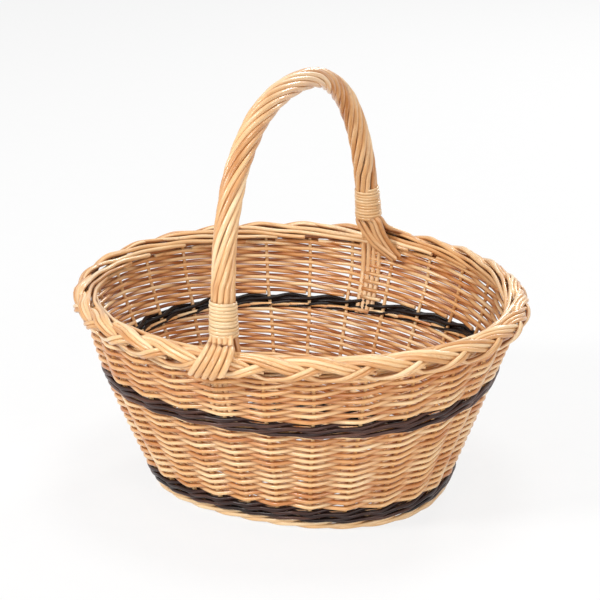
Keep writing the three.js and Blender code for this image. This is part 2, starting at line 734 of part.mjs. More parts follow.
function addSiding(name, bottom, top, rounds) {
  const lapHeight = (top - bottom) / (2 * rounds);
  for (let i = 0; i < rounds; i++) {
    addPiece(numbered(name, i), weaveRound(bottom + (2 * i + 1) * lapHeight, lapHeight), GOLDEN_WILLOW);
  }
}
const WALE_REACH = WALE_HALF_HEIGHT + CLEARANCE;
addSiding("lower_weave", LOWER_WALE_Z + WALE_REACH, UPPER_WALE_Z - WALE_REACH, LOWER_ROUND_COUNT);
addSiding("upper_weave", UPPER_WALE_Z + WALE_REACH, WALL_HEIGHT, UPPER_ROUND_COUNT);
for (let i = 0; i < 3; i++) {
  addPiece(numbered("lower_wale_rod", i), waleRod(i, LOWER_WALE_Z), DARK_WILLOW);
  addPiece(numbered("upper_wale_rod", i), waleRod(i, UPPER_WALE_Z), DARK_WILLOW);
}
addPiece("border_core", borderCore(), PALE_WILLOW);
for (const i of plaitNumbers) {
  addPiece(numbered("border_strand", i), skin(plaitStrand(i, BORDER_Z), true), PALE_WILLOW);
}
addPiece("handle_bow", bow(), HONEY_WILLOW);
for (let i = 0; i < ROPE_STRANDS; i++) {
  addPiece(numbered("handle_rope", i), ropeStrand(i), HONEY_WILLOW);
}
addPiece("front_binding", binding("front_binding", FRONT_BINDING), SPLIT_CANE);
addPiece("back_binding", binding("back_binding", ROPE_END), SPLIT_CANE);

export default basket;
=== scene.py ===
import math

import bpy
import numpy as np
from mathutils import Matrix, Vector


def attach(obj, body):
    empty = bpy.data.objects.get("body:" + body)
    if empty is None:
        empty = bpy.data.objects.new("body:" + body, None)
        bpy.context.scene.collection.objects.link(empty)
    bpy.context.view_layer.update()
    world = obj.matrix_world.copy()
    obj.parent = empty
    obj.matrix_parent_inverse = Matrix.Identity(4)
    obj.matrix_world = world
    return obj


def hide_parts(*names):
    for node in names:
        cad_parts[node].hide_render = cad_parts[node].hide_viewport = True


# Every length is in millimetres until a mesh is made. X is the long way of the mouth, the handle
# spans Y, and the foot stands on z = 0. Places round the wall are counted in stakes from the middle
# of the front towards +X.
MM = 0.001

# Wall
STAKES = 27
STAKE_SPACING = 44.6
BACK_MIDDLE = STAKES / 2
FLARE_HEIGHT = 160.0
FLARE_CURVE = 0.125
RIM_HALF_LENGTH = 206.0
RIM_HALF_WIDTH = 188.5
BASE_HALF_LENGTH = 144.5
BASE_HALF_WIDTH = 116.5
WALL_INSET = 5.95
RIM_SQUARENESS = 2.0
BASE_SQUARENESS = 2.32
SQUARENESS_BULGE = 0.88
# Over these heights the stakes lean out to the middle of the border
RIM_LEAN = 4.5
RIM_LEAN_HEIGHTS = (162, 184)

# Rods of the wall
STAKE_RADIUS = 2.1
STAKE_TAPER = 0.002
WEAVER_OUT = 3.6
# How far each siding rod reaches back before the stake it is counted from, in stakes
WEAVER_LEAD = 0.92
WEAVER_STEPS = 14
# A siding rod bends this sharply at each stake: 1 is a corner, 0 a plain wave
BEND_SHARPNESS = 0.975
CORNER_SOFTNESS = 0.004
WALE_RADIUS = 1.85
WALE_OUT = 3.6
WALE_RISE = 3.4
WALE_PITCH = 7.0
# One rod of a wale: stakes from its start, distance out and height, as shares of the full ones
WALE_STOPS = (
    (0.0, 1.0, 0.0),
    (0.5, 1.08, 0.47),
    (1.0, 1.0, 1.0),
    (1.5, 0.05, 1.15),
    (2.0, -1.0, 0.5),
    (2.5, 0.0, -0.1),
)
# The bow's legs go down inside the back wall, and the siding parts round them
BOW_LEGS_STAKE = BACK_MIDDLE - 0.04
BOW_LEGS_WIDTH = 0.2
BOW_LEGS_DEPTH = 3.4

# Foot
FOOT_ROD_RADIUS = 2.15
FOOT_FILLER_RADIUS = 1.9
# Rounds that fill the foot between its wale and the base: distance out from the stakes and height
FOOT_FILLERS = (
    (-7.4, 4.0),
    (-7.0, 7.4),
    (-3.4, 7.6),
    (-4.0, 4.0),
    (-4.6, 11.4),
    (-8.4, 10.8),
)
FOOT_WAVES = 14

# Base
BASE_CROWN = 4.0
STICK_Z = 14.12
STICK_RADIUS = 2.3
STICK_MARGIN = 6.0
LONG_STICKS = 3
LONG_STICK_SPACING = 5.4
LONG_STICK_END_SPACING = 38.0
SHORT_STICKS = 5
SHORT_STICK_SPACING = 15.0
SHORT_STICK_END_SPACING = 44.0
MAT_HALF_LENGTH = 134.5
MAT_HALF_WIDTH = 106.8
MAT_SQUARENESS = 2.3
MAT_ROD_RADIUS = 2.5
MAT_ROD_FLATNESS = 0.78
CROSSING_HALF_LENGTH = 37.5
CROSSING_HALF_WIDTH = 10.1
CROSSING_SQUARENESS = 4.0
BASE_BANDS = 7
BAND_RODS = 3
BAND_LIFT = 3.5

# Border
BORDER_Z = 185.4
# The border hangs a little at its +X end
BORDER_SAG = 4.5
BORDER_SAG_WIDTH = 0.42
SHELL_DEPTH = 9.4
SHELL_HEIGHT = 8.4
BORDER_ROD_RADIUS = 2.05
BORDER_ROD_SPACING = 3.8
BORDER_SHIFT = 0.1
BORDER_STEPS = 22
STRAND_SPAN = 3
# Rods inside the plait: distance out from its middle and height over it
CORE_RODS = ((-2.0, -1.6), (2.0, -1.2), (0.0, 2.0))
CORE_ROD_RADIUS = 1.9
# Start and end of the short rod beside each strand, and how deep its ends are tucked in
SHORT_ROD_START = 1.08
SHORT_ROD_END = 2.96
TUCK_DEPTH = 4.2

# One strand of the border: stakes from the bottom of one loop, degrees round the border's section
# (0 outwards, 90 up) and height over its middle surface. It passes over one strand and under the
# next on its way up, and again on its way down.
STRAND_STOPS = (
    (0.00, -66, 0.0),
    (0.30, -48, 0.6),
    (0.62, -8, 2.1),
    (0.86, 18, 1.2),
    (1.02, 38, -2.0),
    (1.22, 58, -2.0),
    (1.46, 70, -0.3),
    (1.75, 61, 1.1),
    (2.02, 42, 2.1),
    (2.30, 24, 0.6),
    (2.60, -4, -2.0),
    (2.82, -42, -1.0),
)
# A long rod that starts low on the inside of the border and joins a strand on its way down
JOINING_STOPS = (
    (-1.80, 198, -4.5),
    (-1.50, 188, -1.0),
    (-0.60, 166, 0.3),
    (0.30, 142, 0.6),
    (1.00, 121, 0.9),
    (1.40, 108, 1.2),
    (1.75, 94, 1.8),
    (2.05, 80, 2.4),
    (2.30, 62, 1.0),
    (2.55, 44, -1.2),
    (2.80, 18, -2.6),
    (2.98, -10, -4.6),
)

# Handle
HANDLE_FOOT_Z = 176.0
HANDLE_HALF_SPAN = 167.8
HANDLE_TOP = 390.0
HANDLE_SPREAD = 2.275
HANDLE_SHOULDER = 2.8
HANDLE_SHIFT = 3.4
HANDLE_LEAN = -0.038
FRONT_BINDING_Z = 206.0
BACK_BINDING_Z = 217.0
ROPES = 4
ROPE_RADIUS = 11.4
ROPE_TURN = 990.0
ROPING_RODS = 10
ROPING_ANGLE = 36
ROPING_RADIUS = 2.6
ROPING_STEP = 3.0
# How hard the rope is twisted and how wide it is, at distances along the bow from its front foot
ROPE_TWIST = (
    (55, 1.8),
    (200, 2.1),
    (240, 1.8),
    (290, 1.5),
    (335, 1.3),
    (365, 1.9),
    (395, 3.0),
    (430, 2.6),
    (465, 1.95),
    (560, 1.8),
)
ROPE_WIDTH = (
    (55, 0.95),
    (200, 0.95),
    (280, 0.93),
    (320, 0.9),
    (350, 0.87),
    (380, 0.85),
    (410, 0.88),
    (450, 0.95),
    (490, 0.98),
    (560, 1.03),
)
# The fan of five rods over the front of the border. Its left edge: degrees round the border's
# section and x
FAN_RODS = 5
FAN_EDGE = (
    (118, -5.0),
    (90, -2.2),
    (65, -1.3),
    (40, -2.2),
    (15, -4.8),
    (-10, -8.6),
    (-30, -12.0),
    (-48, -15.0),
)
# Degrees round the border's section that each rod of the fan passes, and those where it ends
FAN_DEGREES = (112, 90, 62, 35, 8)
FAN_ENDS = (-24, -45, -48, -47, -40)
# Where the other five rods end behind the fan: x and z
BEHIND_FAN_ENDS = ((-13, 172), (-6, 183), (3, 188), (12, 190), (17, 184))
# Ends of the rods below the back binding: the first rod of each group with the places that it
# passes, and the step from it to the next rod
BACK_TAILS = (
    (5, ((14.0, 172, 213), (17.5, 177, 205), (24.0, 184, 199.5), (38.0, 189, 194.0)), (-3.4, 1.2, 0)),
    (2, ((6.6, 161, 212), (11.0, 165, 197.0), (18.5, 170.5, 182), (24.0, 173, 175.0)), (4.4, 0.3, 1)),
    (0, ((-7.5, 162, 212), (0.6, 163, 198), (9.4, 167, 185.6), (24.5, 172.5, 172.4)), (5, -1.2, 1.8)),
)
# Rods of the bow: x at their feet and degrees round its middle line
BOW_RODS = ((-7.5, 200), (-1.8, 250), (3.9, 290), (9.6, 340))
BOW_ROD_RADIUS = 2.4
BOW_ROD_OFFSET = 3.3
BINDING_TURNS = 10
BINDING_PITCH = 3.1
CANE_HALF_WIDTH = 1.6
CANE_HALF_THICKNESS = 0.95
CANE_STEPS = 40

# Studio, in metres: each lamp's place, width and power in watts
LAMPS = (
    ("key_lamp", (-1.3, -1.9, 1.9), 0.6, 43.0),
    ("fill_lamp", (1.9, -1.3, 1.3), 0.8, 13.0),
    ("top_lamp", (0.1, 0.3, 2.6), 0.8, 18.0),
    ("back_lamp", (0.2, 2.3, 1.5), 0.6, 20.0),
    ("low_lamp", (0.9, -2.4, 0.7), 0.6, 14.0),
)
LAMP_TARGET = (0.0, 0.0, 0.15)
FLOOR_HALF_SIZE = 6.0
SQUARE = ((-1, -1), (1, -1), (1, 1), (-1, 1))
CAMERA_PLACE = (0.740568, -1.648732, 0.822740)
# The camera's right, up and backward directions
CAMERA_AXES = (
    (0.9129768, 0.4079775, -0.0052659),
    (-0.1320767, 0.3077249, 0.9422638),
    (0.3860428, -0.8595695, 0.3348301),
)

UP = np.array([0.0, 0.0, 1.0])
rng = np.random.default_rng(2741)


def unit(v):
    return v / np.linalg.norm(v, axis=-1, keepdims=True)


def ease(x, low, high):
    t = np.clip((np.asarray(x, float) - low) / (high - low), 0, 1)
    return t * t * (3 - 2 * t)


def wander(places, size, wavelength):
    """Slow natural waver along a rod."""
    total = np.zeros(len(places))
    for share, stretch in ((0.6, 1.0), (0.4, 0.43)):
        start = rng.uniform(0, 2 * math.pi)
        total += share * np.sin(2 * math.pi * places / (wavelength * stretch) + start)
    return size * total


def round_waver(stake, size, waves):
    """Waver round the whole wall that meets itself again."""
    total = np.zeros(len(stake))
    for share, count in ((0.6, waves), (0.4, 2 * waves + 1)):
        start = rng.uniform(0, 2 * math.pi)
        total += share * np.sin(2 * math.pi * stake * count / STAKES + start)
    return size * total


def smooth(points):
    """Close points along a smooth curve through the given ones."""
    points = np.asarray(points, float)
    ends = np.vstack([2 * points[0] - points[1], points, 2 * points[-1] - points[-2]])
    t = np.linspace(0, 1, 24, endpoint=False)[:, None]
    curve = []
    for a, b, c, d in zip(ends, ends[1:], ends[2:], ends[3:]):
        bend = (2 * a - 5 * b + 4 * c - d) * t**2 + (3 * b - a - 3 * c + d) * t**3
        curve.append(0.5 * (2 * b + (c - a) * t + bend))
    return np.vstack(curve + [points[-1:]])


def flow(points, step):
    """Evenly spaced points along a smooth curve through the given ones."""
    curve = smooth(points)
    run = np.concatenate([[0], np.cumsum(np.linalg.norm(np.diff(curve, axis=0), axis=1))])
    places = np.linspace(0, run[-1], max(4, int(run[-1] / step) + 1))
    return np.stack([np.interp(places, run, curve[:, k]) for k in range(3)], axis=1)


def along_stops(stops, places):
    """Smooth values at places along stops whose first number is the place."""
    curve = smooth(stops)
    return [np.interp(places, curve[:, 0], column) for column in curve.T[1:]]


def along_loop(stops, span, places):
    """The same for stops that repeat after a span."""
    stops = np.asarray(stops, float)
    step = np.zeros(stops.shape[1])
    step[0] = span
    return along_stops(np.vstack([stops + step * lap for lap in (-1, 0, 1)]), places % span)


# Shape of the wall


def wall_plan(z):
    """Half length, half width and squareness of the oval that the stakes stand on."""
    rise = np.clip(np.asarray(z, float) / FLARE_HEIGHT, 0, 1)
    flare = rise - FLARE_CURVE * rise * (1 - rise)
    half_length = BASE_HALF_LENGTH + (RIM_HALF_LENGTH - BASE_HALF_LENGTH) * flare - WALL_INSET
    half_width = BASE_HALF_WIDTH + (RIM_HALF_WIDTH - BASE_HALF_WIDTH) * flare - WALL_INSET
    squareness = BASE_SQUARENESS + (RIM_SQUARENESS - BASE_SQUARENESS) * rise
    return half_length, half_width, squareness + SQUARENESS_BULGE * rise * (1 - rise)


def oval(angle, half_length, half_width, squareness):
    """Points of an oval. A squareness of 2 is an ellipse, and more fills its corners."""
    c, s = np.cos(angle), np.sin(angle)
    reach = np.abs(c / half_length) ** squareness + np.abs(s / half_width) ** squareness
    reach = reach ** (-1 / squareness)
    return reach * c, reach * s


RIM_ANGLES = np.linspace(-math.pi / 2, 1.5 * math.pi, 7201)
RIM_X, RIM_Y = oval(RIM_ANGLES, *wall_plan(FLARE_HEIGHT))
RIM_STEPS = np.hypot(np.diff(RIM_X), np.diff(RIM_Y))
RIM_RUN = np.concatenate([[0], np.cumsum(RIM_STEPS)]) / RIM_STEPS.sum()


def stake_angle(stake):
    """Angle in plan, with the stakes at equal distances round the rim."""
    share = np.asarray(stake, float) / STAKES
    turns = np.floor(share)
    return np.interp(share - turns, RIM_RUN, RIM_ANGLES) + 2 * math.pi * turns


def wall_line(stake, z):
    x, y = oval(stake_angle(stake), *wall_plan(z))
    return np.stack([x, y, np.broadcast_to(np.asarray(z, float), x.shape)], axis=-1)


def wall_spot(stake, z, out=0.0):
    """Points at a distance outside the stakes' line, and the wall's outward direction there."""
    parts = [np.asarray(part, float) for part in (stake, z, out)]
    stake, z, out = np.broadcast_arrays(*parts)
    level = np.clip(z, 8, FLARE_HEIGHT - 1)
    round_wall = wall_line(stake + 0.02, level) - wall_line(stake - 0.02, level)
    up_wall = wall_line(stake, level + 1) - wall_line(stake, level - 1)
    facing = unit(np.cross(round_wall, up_wall))
    leaning_out = RIM_LEAN * ease(z, *RIM_LEAN_HEIGHTS)
    return wall_line(stake, z) + facing * (out + leaning_out)[..., None], facing


def zigzag(turn):
    """1 at even stakes and -1 at odd ones, straight between them with a tight bend at each."""
    wave = BEND_SHARPNESS * np.cos(math.pi * turn)
    return np.arcsin(wave) / math.asin(BEND_SHARPNESS)


def near_stakes(stake):
    """About 1 at a stake and 0 halfway between two, with a soft corner at the stake."""
    off = np.abs(stake - np.round(stake))
    return 1.06 - 2 * np.sqrt(off**2 + CORNER_SOFTNESS)


# Rods gathered into pieces


class Bundle:
    """Rods that make one piece."""

    def __init__(self):
        self.points = []
        self.faces = []
        self.lay = []
        self.rod_tone = []
        self.cut = []
        self.sheltered = []
        self.count = 0

    def keep(self, points, lay, tone, cut, sheltered):
        self.points.append(points)
        self.lay.append(lay)
        self.rod_tone.append(np.full(len(points), tone))
        self.cut.append(np.full(len(points), cut))
        self.sheltered.append(np.broadcast_to(sheltered, (len(points),)))
        first = self.count
        self.count += len(points)
        return first

    def rod(
        self,
        path,
        facing,
        radius,
        flat=1.0,
        sides=10,
        looped=False,
        tone=None,
        slant=0.0,
        unshaded_side=1.0,
    ):
        """A rod along a path. flat is its thickness over its width, slant leans its cut ends,
        and the last argument picks the side kept free of painted shade: 1 where the side that
        faces outwards lies open, -1 where the other does, or None where both do and no shade is
        painted.
        """
        path = np.asarray(path, float)
        radius = np.broadcast_to(np.asarray(radius, float), (len(path),))
        tone = rng.random() if tone is None else tone
        if looped:
            along = unit(np.roll(path, -1, axis=0) - np.roll(path, 1, axis=0))
        else:
            along = unit(np.gradient(path, axis=0))
        facing = np.broadcast_to(np.asarray(facing, float), path.shape)
        up = unit(facing - (facing * along).sum(-1, keepdims=True) * along)
        side = np.cross(along, up)
        run = np.concatenate([[0], np.cumsum(np.linalg.norm(np.diff(path, axis=0), axis=1))])
        turn = 2 * math.pi * np.arange(sides) / sides
        across_up = (radius[:, None] * np.cos(turn))[..., None]
        across_side = (radius[:, None] * np.sin(turn))[..., None]
        rings = path[:, None, :] + up[:, None, :] * across_up * flat + side[:, None, :] * across_side
        if not looped:
            for end in (0, -1):
                rings[end] += along[end] * slant * across_side[end]
        runs = np.broadcast_to(run[:, None, None], across_up.shape)
        lay = np.concatenate([runs, across_up, across_side], axis=-1).reshape(-1, 3)
        # Painted shade: the part of the round turned away from the open side is darkened towards the
        # stain colour in the finish, as shade between rods; none where both sides are open
        sheltered = 0.0
        if unshaded_side is not None:
            unshaded_side = np.broadcast_to(np.asarray(unshaded_side, float), (len(path),))
            sheltered = 1 - ease(np.cos(turn) * unshaded_side[:, None], -0.6, 0.5).reshape(-1)
        first = self.keep(rings.reshape(-1, 3), lay, tone, 0.0, sheltered)
        count = len(path)
        spans = count if looped else count - 1
        here = np.arange(spans)[:, None] * sides
        after = (np.arange(spans)[:, None] + 1) % count * sides
        j = np.arange(sides)[None, :]
        k = (j + 1) % sides
        sheet = np.stack([here + j, after + j, after + k, here + k], axis=-1)
        self.faces.append(first + sheet.reshape(-1, 4))
        if not looped:
            self.cap(rings[0], lay[:sides], tone, -along[0], radius[0])
            self.cap(rings[-1], lay[-sides:], tone, along[-1], radius[-1])

    def cap(self, ring, lay, tone, away, radius):
        """Cut end: a small bevel round a slightly domed face."""
        sides = len(ring)
        middle = ring.mean(axis=0)
        brim = middle + (ring - middle) * 0.86 + away * radius * 0.16
        points = np.vstack([ring, brim, [middle + away * radius * 0.22]])
        spread = np.vstack([lay, lay, lay.mean(axis=0, keepdims=True)])
        first = self.keep(points, spread, tone, 1.0, 0.0)
        j = np.arange(sides)
        k = (j + 1) % sides
        hub = np.full(sides, 2 * sides)
        bevel = np.stack([j, k, k + sides, j + sides], axis=-1)
        face = np.stack([j + sides, k + sides, hub, hub], axis=-1)
        if np.cross(ring[1] - ring[0], middle - ring[0]) @ away < 0:
            bevel, face = bevel[:, ::-1], face[:, [1, 0, 2, 2]]
        self.faces += [first + bevel, first + face]

    def piece(self, name, finish, slot, nodes):
        points = np.vstack(self.points) * MM
        faces = np.vstack(self.faces)
        polygons = [f[:3] if f[2] == f[3] else f for f in faces.tolist()]
        mesh = bpy.data.meshes.new(name)
        mesh.from_pydata(points.tolist(), [], polygons)
        lay = mesh.attributes.new("lay", "FLOAT_VECTOR", "POINT")
        lay.data.foreach_set("vector", np.vstack(self.lay).astype(np.float32).ravel())
        # Per point: the lay, the rod's own tone, its cut ends and the painted shade on its hidden
        # side
        spreads = {"rod_tone": self.rod_tone, "cut_end": self.cut, "sheltered": self.sheltered}
        for label, values in spreads.items():
            spread = mesh.attributes.new(label, "FLOAT", "POINT")
            spread.data.foreach_set("value", np.concatenate(values).astype(np.float32))
        mesh.materials.append(finish)
        mesh.polygons.foreach_set("use_smooth", [True] * len(mesh.polygons))
        mesh.update()
        made = bpy.data.objects.new(name, mesh)
        bpy.context.scene.collection.objects.link(made)
        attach(made, "root")
        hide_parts(*nodes)


# Finishes


def tone_of(red, green, blue):
    """A colour as seen on screen, 0 to 255, for a colour socket."""
    parts = [v / 255 for v in (red, green, blue)]
    linear = [v / 12.92 if v <= 0.04045 else ((v + 0.055) / 1.055) ** 2.4 for v in parts]
    return (*linear, 1.0)


class Signal:
    """A socket that carries a value, colour or vector. Arithmetic on values adds Math nodes."""

    def __init__(self, finish, socket):
        self.finish = finish
        self.socket = socket

    def math(self, operation, first, second):
        settings = {"operation": operation}
        return self.finish.node("ShaderNodeMath", settings, {0: first, 1: second})

    def __add__(self, other):
        return self.math("ADD", self, other)

    def __radd__(self, other):
        return self.math("ADD", other, self)

    def __sub__(self, other):
        return self.math("SUBTRACT", self, other)

    def __rsub__(self, other):
        return self.math("SUBTRACT", other, self)

    def __mul__(self, other):
        return self.math("MULTIPLY", self, other)

    def __rmul__(self, other):
        return self.math("MULTIPLY", other, self)

    def fraction(self):
        return self.finish.node("ShaderNodeMath", {"operation": "FRACT"}, {0: self})


class Finish:
    """A tree of nodes, built one node at a time."""

    def __init__(self, tree):
        self.tree = tree
        tree.nodes.clear()

    def node(self, kind, settings=None, sockets=None, out=0):
        made = self.tree.nodes.new(kind)
        for name, value in (settings or {}).items():
            if name == "stops":
                ramp = made.color_ramp
                while len(ramp.elements) < len(value):
                    ramp.elements.new(0.5)
                for element, (position, colour) in zip(ramp.elements, value):
                    element.position = position
                    element.color = colour
            else:
                setattr(made, name, value)
        for key, value in (sockets or {}).items():
            if isinstance(value, Signal):
                self.tree.links.new(value.socket, made.inputs[key])
            else:
                made.inputs[key].default_value = value
        return Signal(self, made.outputs[out]) if made.outputs else None

    def attribute(self, name, out):
        return self.node("ShaderNodeAttribute", {"attribute_name": name}, out=out)

    def stretched(self, vector, scale, shift):
        """A vector scaled by a fixed one and moved by a value along all its axes."""
        scaled = self.node("ShaderNodeVectorMath", {"operation": "MULTIPLY"}, {0: vector, 1: scale})
        return self.node("ShaderNodeVectorMath", {"operation": "ADD"}, {0: scaled, 1: shift})

    def noise(self, vector, scale, detail=2.0, roughness=0.5):
        sockets = {"Vector": vector, "Scale": scale, "Detail": detail, "Roughness": roughness}
        return self.node("ShaderNodeTexNoise", {"noise_dimensions": "3D"}, sockets)

    def between(self, value, low, high):
        """0 below low, 1 above high, smooth between."""
        sockets = {"Value": value, "From Min": low, "From Max": high}
        return self.node("ShaderNodeMapRange", {"interpolation_type": "SMOOTHSTEP"}, sockets)

    def blend(self, factor, first, second):
        sockets = {0: factor, 6: first, 7: second}
        return self.node("ShaderNodeMix", {"data_type": "RGBA"}, sockets, out=2)

    def seen_directly(self):
        """1 for camera, mirror and glass rays, 0 for the light that falls on things."""
        path = self.node("ShaderNodeLightPath")
        kinds = ("Is Camera Ray", "Is Glossy Ray", "Is Transmission Ray")
        rays = [Signal(self, path.socket.node.outputs[kind]) for kind in kinds]
        return rays[0] + rays[1] + rays[2]


def willow(name, deep, mid, light, stain_and_shade, stain_share, roughness, coat, shine=0.5):
    """Peeled willow: each rod has its own tone, slow mottling, fibres, stains and pale cut ends,
    and painted shade in the stain colour on the sides of rods turned into the weave.
    """
    made = bpy.data.materials.new(name)
    made.use_nodes = True
    finish = Finish(made.node_tree)
    lay = finish.attribute("lay", "Vector")
    own = finish.attribute("rod_tone", "Fac")
    cut = finish.attribute("cut_end", "Fac")
    second = (own * 7.31).fraction()
    mottling = finish.noise(finish.stretched(lay, (0.03, 0.14, 0.14), own * 90.0), 1.0, 3.0, 0.55)
    fibres = finish.noise(finish.stretched(lay, (0.05, 2.2, 2.2), own * 57.0), 1.0, 3.0, 0.6)
    flecks = finish.noise(finish.stretched(lay, (0.3, 1.0, 1.0), own * 31.0), 1.0, 2.0, 0.5)
    tone = own * 0.6 + mottling * 1.0 + fibres * 0.3 - 0.47
    stops = [(0.08, deep), (0.45, mid), (0.85, light)]
    colour = finish.node("ShaderNodeValToRGB", {"stops": stops}, {"Fac": tone})
    spread = mottling * 0.62 + flecks * 0.38 + second * 0.16
    colour = finish.blend(finish.between(spread, 0.66, 0.82) * stain_share, colour, stain_and_shade)
    colour = finish.blend(finish.between(flecks, 0.7, 0.78) * 0.5, colour, stain_and_shade)
    # Painted shade: sides of rods turned into the weave take the stain colour, standing in for the
    # shade between rods
    sheltered = finish.attribute("sheltered", "Fac")
    colour = finish.blend(sheltered * 0.92, colour, stain_and_shade)
    pith = finish.noise(finish.stretched(lay, (1.0, 1.4, 1.4), own * 19.0), 1.0, 2.0)
    end_tone = finish.blend(pith, tone_of(190, 140, 92), tone_of(246, 222, 182))
    colour = finish.blend(cut, colour, end_tone)
    relief = fibres * 0.6 + flecks * 0.5 + mottling * 0.4
    bump = finish.node(
        "ShaderNodeBump", None, {"Strength": 0.45, "Distance": 0.0004, "Height": relief}
    )
    sockets = {
        "Base Color": colour,
        "Roughness": roughness + (flecks - 0.5) * 0.2 + (fibres - 0.5) * 0.12 + cut * 0.3,
        "Normal": bump,
        "Specular IOR Level": shine,
        "Coat Weight": coat,
        "Coat Roughness": 0.16,
    }
    shader = finish.node("ShaderNodeBsdfPrincipled", None, sockets)
    finish.node("ShaderNodeOutputMaterial", None, {"Surface": shader})
    return made


GOLDEN_WILLOW = willow(
    "golden_willow",
    deep=tone_of(196, 124, 60),
    mid=tone_of(232, 176, 112),
    light=tone_of(248, 215, 164),
    stain_and_shade=tone_of(166, 92, 38),
    stain_share=0.45,
    roughness=0.38,
    coat=0.6,
)
PALE_WILLOW = willow(
    "pale_willow",
    deep=tone_of(200, 138, 78),
    mid=tone_of(231, 183, 126),
    light=tone_of(248, 218, 173),
    stain_and_shade=tone_of(156, 90, 42),
    stain_share=0.45,
    roughness=0.4,
    coat=0.5,
)
DARK_WILLOW = willow(
    "dark_willow",
    deep=tone_of(20, 8, 6),
    mid=tone_of(50, 27, 22),
    light=tone_of(104, 68, 54),
    stain_and_shade=tone_of(12, 4, 3),
    stain_share=0.4,
    roughness=0.34,
    coat=0.12,
    shine=0.25,
)
HONEY_WILLOW = willow(
    "honey_willow",
    deep=tone_of(196, 132, 74),
    mid=tone_of(231, 182, 126),
    light=tone_of(247, 215, 170),
    stain_and_shade=tone_of(156, 92, 46),
    stain_share=0.45,
    roughness=0.38,
    coat=0.5,
)
SPLIT_CANE = willow(
    "split_cane",
    deep=tone_of(196, 140, 84),
    mid=tone_of(228, 182, 126),
    light=tone_of(248, 222, 178),
    stain_and_shade=tone_of(150, 92, 46),
    stain_share=0.35,
    roughness=0.36,
    coat=0.5,
)

# Foot and base


def three_rod_wale(bundle, bottom_z, rise, swing, radius, dip, inner_swing=None):
    """One round of three rods, each before two stakes and behind the third, which swing out and
    in from the stakes' line and dip at the stakes.
    """
    stake = np.linspace(0, STAKES, STAKES * 12, endpoint=False)
    for rod in range(3):
        out, up = along_loop(WALE_STOPS, 3, stake - rod)
        out = np.where(out > 0, out * swing, out * (inner_swing or swing))
        z = bottom_z + rise * up - dip * near_stakes(stake) + round_waver(stake, 0.15, 4)
        points, facing = wall_spot(stake, z, out + round_waver(stake, 0.1, 6))
        size = radius * (1 + round_waver(stake, 0.05, 5))
        bundle.rod(points, facing, size, looped=True, sides=12)


def make_foot():
    foot = Bundle()
    three_rod_wale(
        foot, 3.5, rise=3.3, swing=2.4, radius=FOOT_ROD_RADIUS, dip=0.0, inner_swing=5.6
    )
    # Lower ends of the stakes, worked into the foot
    for stake in range(STAKES):
        points, facing = wall_spot(stake + 0.09, np.linspace(3.2, 9.5, 4), -1.8)
        foot.rod(points, facing, FOOT_FILLER_RADIUS)
    stake = np.linspace(0, STAKES, STAKES * 8, endpoint=False)
    wave = 0.9 * np.cos(2 * math.pi * FOOT_WAVES * stake / STAKES)
    for out, z in FOOT_FILLERS:
        points, facing = wall_spot(stake, z + round_waver(stake, 0.15, 3), out + wave)
        foot.rod(points, facing, FOOT_FILLER_RADIUS, looped=True)
    lowest = min(points[:, 2].min() for points in foot.points)
    foot.points = [points - UP * lowest for points in foot.points]
    foot.piece("foot_ring_wale", PALE_WILLOW, "pale_willow", ["foot_ring"])


def crown_at(x, y):
    """How far the base stands up over the level of its edge."""
    away = (np.asarray(x) / MAT_HALF_LENGTH) ** 2 + (np.asarray(y) / MAT_HALF_WIDTH) ** 2
    return BASE_CROWN * np.maximum(1 - away, 0)


def base_stick(index, lengthways):
    """Plan line of one base stick, close to its neighbours at the crossing and splayed beyond."""
    if lengthways:
        half, half_across, crossing = MAT_HALF_LENGTH, MAT_HALF_WIDTH, CROSSING_HALF_LENGTH
        near, far = LONG_STICK_SPACING, LONG_STICK_END_SPACING
    else:
        half, half_across, crossing = MAT_HALF_WIDTH, MAT_HALF_LENGTH, CROSSING_HALF_WIDTH
        near, far = SHORT_STICK_SPACING, SHORT_STICK_END_SPACING
    end = (half - STICK_MARGIN) * math.sqrt(1 - (far * index / half_across) ** 2)
    along = np.linspace(-end, end, 81)
    splay = np.maximum(np.abs(along) - crossing, 0) / (end - crossing)
    aside = index * (near + (far - near) * splay)
    return np.stack([along, aside] if lengthways else [aside, along], axis=1)


def stick_crossings(sticks, half_length, half_width, squareness):
    """Angles at which the sticks' ends cross an oval, counter-clockwise from a long stick."""
    angles = []
    for line in sticks:
        reach = (np.abs(line / (half_length, half_width)) ** squareness).sum(axis=1)
        middle = len(line) // 2
        for half in (slice(middle, None), slice(middle, None, -1)):
            x, y = (np.interp(1.0, reach[half], line[half, k]) for k in (0, 1))
            angles.append(math.atan2(y, x))
    return np.sort(np.array(angles))


